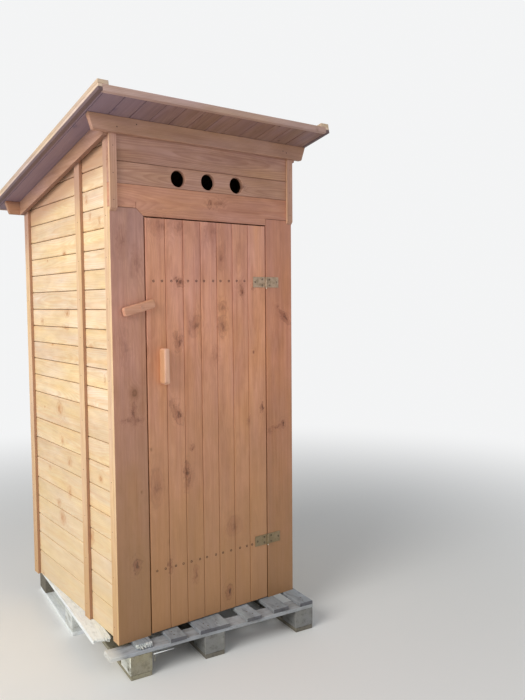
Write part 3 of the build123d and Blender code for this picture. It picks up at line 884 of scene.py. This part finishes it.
door_joints = [door_low.x] + [across(t) for t in (266, 359, 453, 543, 634, 725)] + [door_high.x + board_gap]
work = new_work()
for x0, x1 in zip(door_joints, door_joints[1:]):
    timber(work, (x0, front, door_low.z), (x1 - board_gap, frame_y, door_high.z))
    ease(work, 3.2 * mm, Z)
    ease(work, 0.8 * mm, X, 1)
    give_grain(work, Z, Y, 0.8)
tongue_w = 12 * mm
for x in door_joints[1:-1]:
    low = (x - tongue_w / 2, behind(9), door_low.z + 1 * mm)
    timber(work, low, (x + tongue_w / 2, behind(9) + tongue_t, door_high.z - 1 * mm))
    give_grain(work, Z, Y, 0.3)
paint_facing(work, inwards, 1)
finish_piece("door_planks", work, [door_finish, inside_finish], ["door_boards"], body="door")


# Floor planks and roof planks

floor_board_w = 116.5 * mm
work = new_work()
y = floor_low.y
while y < floor_high.y - 20 * mm:
    y1 = min(y + floor_board_w, floor_high.y)
    timber(work, (floor_low.x, y, floor_low.z), (floor_high.x, y1, floor_high.z))
    ease(work, 1.5 * mm, X)
    give_grain(work, X, Z)
    y = y1
finish_piece("floor_planks", work, [inside_finish], ["floor_boards"])

deck_low, deck_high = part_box("roof_boards")
cabin_l, front_overhang, rear_overhang, edge_strip_t = 1106, 207, 160, 20
roof_board_w, roof_board_t, roof_gap = 95 * mm, 20 * mm, 1.5 * mm
slope_start = -(front_overhang - edge_strip_t) * mm / math.cos(roof_pitch)
slope_end = (cabin_l + rear_overhang - edge_strip_t) * mm / math.cos(roof_pitch)
roof_frame = Matrix.Translation(roof_point) @ Matrix.Rotation(-roof_pitch, 4, "X")
work = new_work()
x = deck_low.x
joint = across(-100)
while x < deck_high.x - 4 * mm:
    x1 = joint if deck_high.x - joint > 20 * mm else deck_high.x
    timber(work, (x, slope_start, 0), (x1 - roof_gap, slope_end, roof_board_t))
    ease(work, 3.6 * mm, Y)
    give_grain(work, Y, Z)
    x = x1
    joint += roof_board_w
finish_piece("roof_planks", work, [soffit_finish], ["roof_boards"], roof_frame)

# Upper length of felt, lapped over the lower one, between the verge battens
lap_y, lap_low, lap_top, verge_w = 620 * mm, 23 * mm, 25.5 * mm, 28.5 * mm
work = new_work()
timber(work, (deck_low.x + verge_w, slope_start + 1 * mm, lap_low), (deck_high.x - verge_w, lap_y, lap_top))
ease(work, 0.8 * mm, X, 1)
give_grain(work, X, Z)
finish_piece("felt_lap", work, [felt_finish], laid_in=roof_frame)


# Screws and nails


def screw_head(work, place, radius, proud=0.4 * mm):
    """Countersunk head facing the front, with a cross recess."""
    depth = 2.6 * mm
    old = set(work.verts)
    made = bmesh.ops.create_cone(
        work, cap_ends=True, segments=16, radius1=radius * 0.6, radius2=radius, depth=depth
    )
    cap = [f for f in {f for v in made["verts"] for f in v.link_faces} if f.normal.z > 0.9][0]
    bmesh.ops.inset_region(work, faces=[cap], thickness=radius * 0.25, depth=0.0)
    for i, v in enumerate(sorted(cap.verts, key=lambda v: math.atan2(v.co.y, v.co.x))):
        if i % 4 == 2:
            v.co.x *= 0.35
            v.co.y *= 0.35
    walls = bmesh.ops.inset_region(work, faces=[cap], thickness=0.02 * mm, depth=-1.2 * mm)["faces"]
    for f in walls + [cap]:
        f.material_index = 1
    turn = faces_front @ Matrix.Rotation(chance.uniform(0, 1.5), 3, "Z")
    sunk = Vector(place) + Vector((0, depth / 2 - proud, 0))
    turn_to(work, [v for v in work.verts if v not in old], turn, sunk)


def nail_head(work, place, radius, facing):
    """Flat nail head, slightly domed."""
    made = bmesh.ops.create_cone(
        work, cap_ends=True, segments=10, radius1=radius, radius2=radius * 0.75, depth=1.2 * mm
    )
    turn_to(work, made["verts"], facing, place)


# The heads are drawn wider than the screws so that their dark finish takes in the countersinks round them as
# painted shade.
ledge_screw_r, hinge_screw_r = 5.6 * mm, 4.6 * mm
# The two rows of screws in the door rise a little to the right
work = bmesh.new()
for t in (204, 247, 295, 324, 383, 428, 470, 521, 563, 611, 657, 703):
    screw_head(work, (across(t), front, height(1619 + 0.0135 * (t - 204))), ledge_screw_r)
for t in (197, 241, 295, 336, 380, 427, 467, 518, 559, 607, 661, 704, 735):
    screw_head(work, (across(t), front, height(293.5 + 0.013 * (t - 197))), ledge_screw_r)
finish_piece("ledge_screws", work, [screw_shade_finish, recess_shade_finish], body="door")

for body, spots in (
    ("door", [(767, 1621), (810, 1635), (810, 1606), (769, 309), (812, 324), (812, 295)]),
    ("cabin", [(856, 1635), (856, 1606), (900, 1621), (856, 324), (856, 295), (902, 311)]),
):
    work = bmesh.new()
    for t, h in spots:
        screw_head(work, (across(t), behind(-2.5), height(h)), hinge_screw_r, 0.5 * mm)
    finish_piece("hinge_screws_" + body, work, [screw_shade_finish, recess_shade_finish], body=body)

work = bmesh.new()
purlin_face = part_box("front_purlin")[0].y
purlin_nail_r, board_nail_r = 3.4 * mm, 2.2 * mm
for t, h in ((31, 2266), (123, 2288), (929, 2275), (951, 2268)):
    nail_head(work, (across(t), purlin_face, height(h)), purlin_nail_r, faces_front)
for t in (16, 984):
    for h in (1962, 2075, 2190):
        nail_head(work, (across(t), behind(-12), height(h)), board_nail_r, faces_front)
for d in (40, 352, 1076):
    for foot, top in zip(joint_heights[:-4:2], joint_heights[1::2]):
        for x, facing in ((left, faces_left), (right, faces_right)):
            place = (x, behind(d + chance.uniform(-4, 4)), height((foot + top) / 2))
            nail_head(work, place, board_nail_r, facing)
finish_piece("small_nails", work, [nail_finish])

work = bmesh.new()
clouts, inset = 11, 50 * mm
for i in range(clouts):
    x = deck_low.x + inset + i * (deck_high.x - deck_low.x - 2 * inset) / (clouts - 1)
    nail_head(work, (x, lap_y - 20 * mm, lap_top), 5 * mm, faces_up)
finish_piece("felt_clouts", work, [nail_finish], laid_in=roof_frame)


# Pallet, laid out from the left end of its front board: across, backwards and up, in millimetres

pallet_frame = Matrix.Translation((across(-69), behind(-53), 0)) @ Matrix.Rotation(math.radians(-6.3), 4, "Z")
pallet_finishes = [
    weathered(
        "weathered_pallet_wood", (172, 176, 179), (134, 134, 134), (169, 178, 185), (100, 99, 101), 0.85,
        foot=0.3,
    ),
    # Near white, partly paler wood and partly painted sunlight, on the pallet's left deck board and left
    # skid.
    weathered(
        "pale_pallet_wood_painted_sunlit", (246, 252, 255), (230, 234, 236), (250, 254, 255), (208, 212, 212), 0.75,
        foot=0.0, knot_share=0.05,
    ),
    weathered(
        "fresh_block_wood", (172, 165, 142), (142, 131, 104), (164, 162, 150), (104, 96, 78), 0.5, foot=0.15,
    ),
    # Pale, as painted sunlight on the pallet's left side.
    weathered(
        "pale_skid_wood_painted_sunlit", (226, 229, 224), (198, 197, 188), (224, 229, 227), (154, 154, 147), 0.75, foot=0.05,
        knot_share=0.1,
    ),
    weathered("dark_skid_wood", (155, 147, 132), (122, 114, 100), (148, 145, 134), (78, 72, 66), 0.7),
    # The front board's left end is lighter as painted sunlight.
    weathered(
        "weathered_front_board", (182, 184, 184), (148, 146, 144), (178, 183, 188), (112, 110, 108), 0.85,
        foot=0.2, sunlit_end=(244, 244, 238),
    ),
    weathered("dark_board_end", (123, 122, 125), (92, 89, 91), (114, 115, 120), (66, 64, 67), 0.8, foot=0.2),
    # The front-left block's left faces, drawn much lighter as painted sunlight.
    weathered(
        "fresh_block_painted_sunlit_side", (253, 254, 242), (234, 233, 212), (250, 253, 243), (146, 144, 124), 0.5, foot=0.1,
        hollow=(-46, -98, 17, 17, 1.0),
    ),
    weathered(
        "weathered_block", (156, 154, 148), (118, 113, 106), (152, 154, 152), (88, 85, 82), 0.8, foot=0.3,
    ),
]
GREY, PALE, FRESH, PALE_SKID, DARK_SKID, FRONT_BOARD, BOARD_END, SUNLIT_BLOCK_SIDE, OLD_BLOCK = range(9)


def splinters(work, low, high, along, count, longest):
    """Torn fibres on a board's low end, in two layers, each of its own width and length."""
    side = X + Y - along
    half = (high.z - low.z) / 2
    for layer in (0, 1):
        shares = [chance.uniform(0.3, 1.7) for _ in range(count)]
        length = longest * chance.uniform(0.3, 0.7)
        start = low[side]
        for share in shares:
            end = start + (high[side] - low[side]) * share / sum(shares)
            length = min(longest, max(0.06 * longest, length + longest * chance.uniform(-0.4, 0.4)))
            stub_low, stub_high = low.copy(), low.copy()
            stub_low[along] -= length
            stub_low[side], stub_high[side] = start, end
            stub_low.z += layer * half
            stub_high.z += (layer + 1) * half
            tip = [v for v in timber(work, stub_low, stub_high) if v.co[along] < low[along] - 1e-6]
            centre = sum((v.co for v in tip), Vector()) / len(tip)
            pinch = chance.uniform(0.15, 0.8)
            for v in tip:
                v.co = centre + (v.co - centre) * pinch
                v.co[along] += chance.uniform(-0.12, 0.12) * length
            start = end


def pallet_board(work, low, high, along, finish, face=Z, arris=1.8, torn=None):
    """Rough sawn board, whole or with a torn low end given as a count and the longest fibre."""
    low, high = Vector(low) * mm, Vector(high) * mm
    timber(work, low, high)
    ease(work, arris * mm, along if torn else None, 1)
    if torn:
        splinters(work, low, high, along, torn[0], torn[1] * mm)
    give_grain(work, along, face, 1.2, finish)


def pallet_piece(name, work, stands_for=()):
    finish_piece(name, work, pallet_finishes, stands_for, pallet_frame)


pallet_l = 1230
skid_w, skid_t = 100, 20
work = new_work()
for middle, start, end, finish in (
    (510, 0, pallet_l, DARK_SKID), (1014.5, 0, pallet_l, DARK_SKID), (37.5, 552.5, pallet_l, PALE),
    (144.5, 0, 542.5, FRESH),
):
    pallet_board(work, (middle - skid_w / 2, start, 0), (middle + skid_w / 2, end, skid_t), Y, finish)
pallet_piece("pallet_skid_boards", work, ["pallet_skids"])

block_w, block_l, block_top = 105, 125, 108
work = new_work()
for middle, starts, finish in (
    (510, (0, 552.5, 1105), OLD_BLOCK), (1014.5, (0, 552.5, 1105), OLD_BLOCK), (37.5, (552.5,), PALE_SKID),
    (37.5, (1105,), DARK_SKID), (144.5, (0,), FRESH),
):
    for start in starts:
        low = (middle - block_w / 2, start, skid_t)
        pallet_board(work, low, (middle + block_w / 2, start + block_l, block_top), Y, finish, X, 3)
# The front-left block's left-facing faces take the painted-sunlit finish.
for f in work.faces:
    if f.material_index == FRESH and f.normal.x < -0.6:
        f.material_index = SUNLIT_BLOCK_SIDE
pallet_piece("pallet_block_pieces", work, ["pallet_blocks"])

stringer_w, stringer_top, pallet_w = 89, 126, 1067
work = new_work()
for start in (570.5, 1141):
    pallet_board(work, (0, start, block_top), (pallet_w, start + stringer_w, stringer_top), X, GREY)
pallet_board(work, (7, 0, block_top), (pallet_w, stringer_w, stringer_top), X, FRONT_BOARD, torn=(9, 8))
pallet_piece("pallet_stringer_boards", work, ["pallet_stringers"])

deck_top = 144
work = new_work()
for first, wide, start, torn, finish in (
    (-24, 84, 180, (13, 28), PALE), (128, 77, 26, (7, 26), GREY), (283, 79, -8, None, GREY),
    (432, 156, -6, None, GREY), (681, 80, -8, None, GREY), (839, 86, 6, None, GREY), (991, 76, 0, None, GREY),
):
    low = (first, start, stringer_top)
    pallet_board(work, low, (first + wide, pallet_l, deck_top), Y, finish, torn=torn)
for f in work.faces:
    middle = f.calc_center_median() / mm
    if 128 <= middle.x <= 206 and middle.y < 25 and middle.z > 133:
        f.material_index = PALE_SKID
    elif middle.x > 206 and middle.y < 12 and abs(f.normal.y) > 0.5:
        f.material_index = BOARD_END
pallet_piece("pallet_deck_boards", work, ["pallet_deck"])

# Splinters that hang off the front board, and the pallet's nails
work = new_work()
for corner, size, finish in (
    ((200, -12, 98), (96, 7, 5), PALE), ((232, 1, 104), (60, 4, 3), GREY), ((205, -3, 62), (4, 3, 42), FRESH),
    ((212, 4, 80), (5, 3, 26), GREY),
):
    corner, size = Vector(corner) * mm, Vector(size) * mm
    made = bmesh.ops.create_cone(work, cap_ends=True, segments=6, radius1=0.5, radius2=0.12, depth=1.0)
    verts = made["verts"]
    level = size.x > size.z
    if level:
        turn_to(work, verts, Matrix.Rotation(math.pi / 2 + 0.03, 3, "Y"), (0, 0, 0))
    bmesh.ops.scale(work, vec=size, verts=verts)
    bmesh.ops.translate(work, vec=corner + size / 2, verts=verts)
    give_grain(work, X if level else Z, Y, 0.3, finish)
pallet_piece("pallet_splinters", work)

work = bmesh.new()
for a in (322, 480, 540, 721, 882, 1030):
    for b in (30, 62, 600, 635, 1170, 1205):
        nail_head(work, Vector((a + chance.uniform(-8, 8), b, deck_top)) * mm, 4.2 * mm, faces_up)
finish_piece("pallet_nails", work, [nail_finish], laid_in=pallet_frame)


# Floor, light and camera

backdrop = (0.90, 0.905, 0.91, 1)


def lay_ground():
    """Pale floor that fades into the backdrop with distance."""
    work = bmesh.new()
    bmesh.ops.create_grid(work, x_segments=1, y_segments=1, size=30.0)
    ground = cast("ground", work)
    finish = bpy.data.materials.new("pale_floor")
    tree = empty_tree(finish)
    plain = add("ShaderNodeBsdfDiffuse", {"Color": (0.86, 0.86, 0.85, 1)}, tree)
    far = add("ShaderNodeEmission", {"Color": backdrop}, tree)
    seen = add("ShaderNodeLightPath", tree=tree).outputs["Is Camera Ray"]
    share = times(ramp(vector("LENGTH", own_place(tree)), 1.4, 6.0), seen)
    blend = add("ShaderNodeMixShader", {0: share, 1: plain.outputs[0], 2: far.outputs[0]})
    add("ShaderNodeOutputMaterial", {"Surface": blend.outputs[0]})
    ground.data.materials.append(finish)


def hang_world(strength):
    """Soft light from all round, with the plain backdrop behind it where the camera looks."""
    world = bpy.data.worlds.new("studio")
    bpy.context.scene.world = world
    tree = empty_tree(world)
    soft = add("ShaderNodeBackground", {"Color": (0.94, 0.97, 1.0, 1), "Strength": strength}, tree)
    plain = add("ShaderNodeBackground", {"Color": backdrop}, tree)
    seen = add("ShaderNodeLightPath", tree=tree).outputs["Is Camera Ray"]
    pick = add("ShaderNodeMixShader", {0: seen, 1: soft.outputs[0], 2: plain.outputs[0]})
    add("ShaderNodeOutputWorld", {"Surface": pick.outputs[0]})


def lamp(name, place, aim, size, power, color):
    data = set_all(bpy.data.lights.new(name, "AREA"), shape="DISK", size=size, energy=power, color=color)
    item = stand(name, data)
    item.location = place
    item.rotation_euler = (Vector(aim) - Vector(place)).to_track_quat("-Z", "Y").to_euler()


def place_camera():
    """Camera where the photograph was taken from."""
    azimuth, tilt, roll = 36.871, 3.818, -0.442
    place = Matrix.Translation((left - 1.2752, front - 2.7811, base + 1.5139))
    for degrees, axis in ((-azimuth, "Z"), (90 - tilt, "X"), (roll, "Z")):
        place = place @ Matrix.Rotation(math.radians(degrees), 4, axis)
    data = bpy.data.cameras.new("photo_view")
    set_all(data, sensor_fit="HORIZONTAL", sensor_width=36.0, lens=47.541)
    camera = stand("photo_view", data)
    camera.matrix_world = place
    bpy.context.scene.camera = camera


lay_ground()
hang_world(0.42)
lamp("left_key", (-6.0, -1.9, 4.4), (-0.2, 0, 1.1), 4.5, 330, (1.0, 0.97, 0.92))
lamp("front_fill", (1.5, -6.5, 2.6), (0, 0, 1.1), 4.0, 45, (1.0, 0.98, 0.96))
place_camera()
bpy.context.scene.view_settings.view_transform = "Standard"
